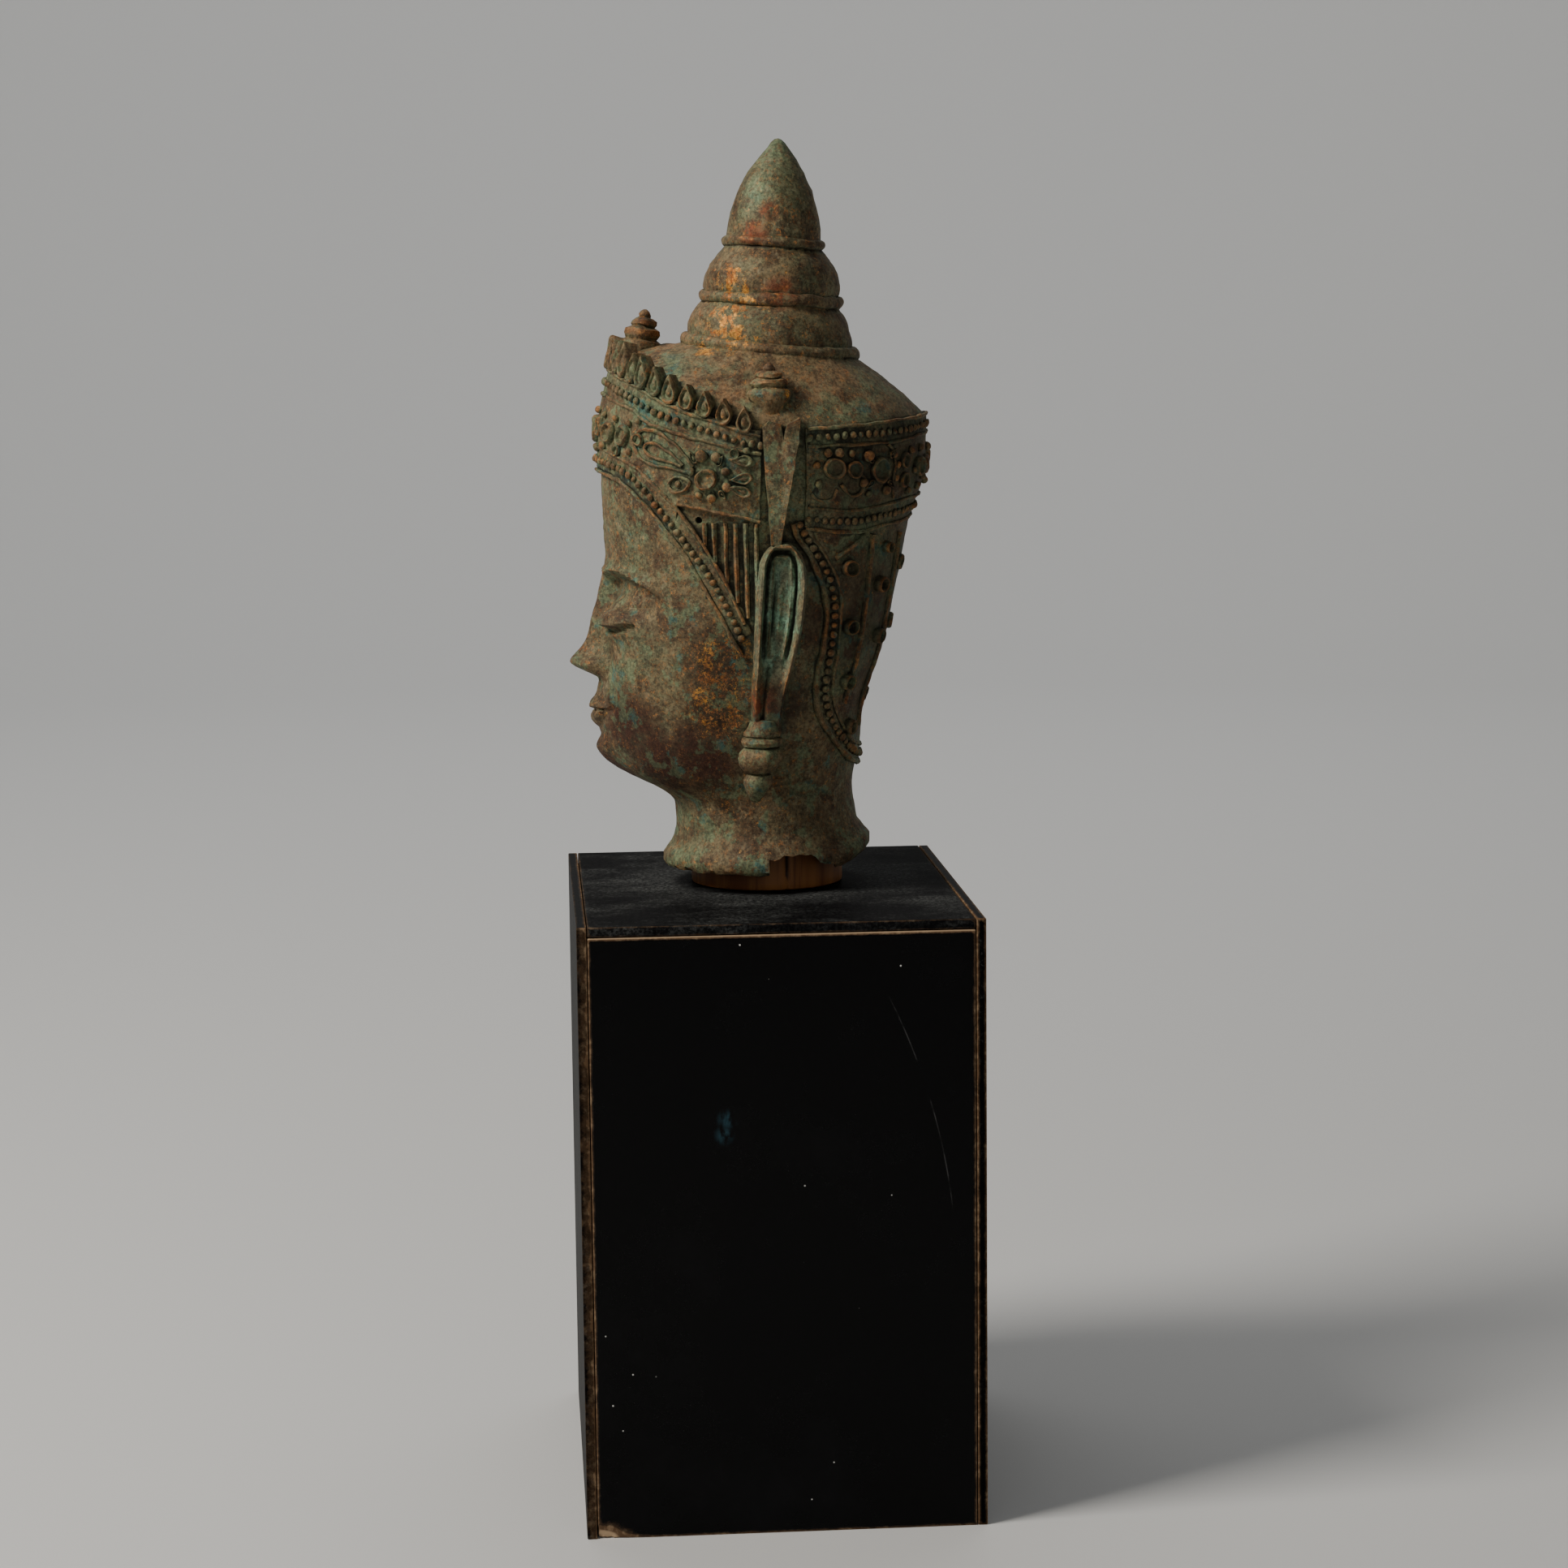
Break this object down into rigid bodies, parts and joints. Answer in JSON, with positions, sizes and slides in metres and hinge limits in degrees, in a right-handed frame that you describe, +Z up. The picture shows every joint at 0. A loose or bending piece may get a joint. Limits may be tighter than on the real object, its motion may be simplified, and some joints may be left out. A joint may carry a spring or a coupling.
{
  "type": "crowned bronze buddha head on a stand",
  "caption": "Cast bronze buddha head with tiered crown, long ears and ear pendants, set on a round wooden peg on a tall black box stand of painted boards.",
  "frame": {"origin": "centre of the stand's underside, on the surface it stands on", "axes": "+Z up the head, the face looks along -Y, +X on the side of the head's left ear"},
  "size_m": [0.158, 0.1326, 0.4557],
  "materials": {
    "bronze": "old cast bronze, matt brown-green patina with verdigris and worn coppery spots",
    "peg_wood": "varnished orange-brown softwood",
    "black_board": "black lacquered hardboard, edges rubbed to brown"
  },
  "bodies": {
    "root": {"bronze_head": "bronze", "wood_peg": "peg_wood", "stand_front_board": "black_board", "stand_back_board": "black_board", "stand_top_board": "black_board", "stand_left_board": "black_board", "stand_right_board": "black_board", "stand_base_board": "black_board"}
  },
  "joints": []
}
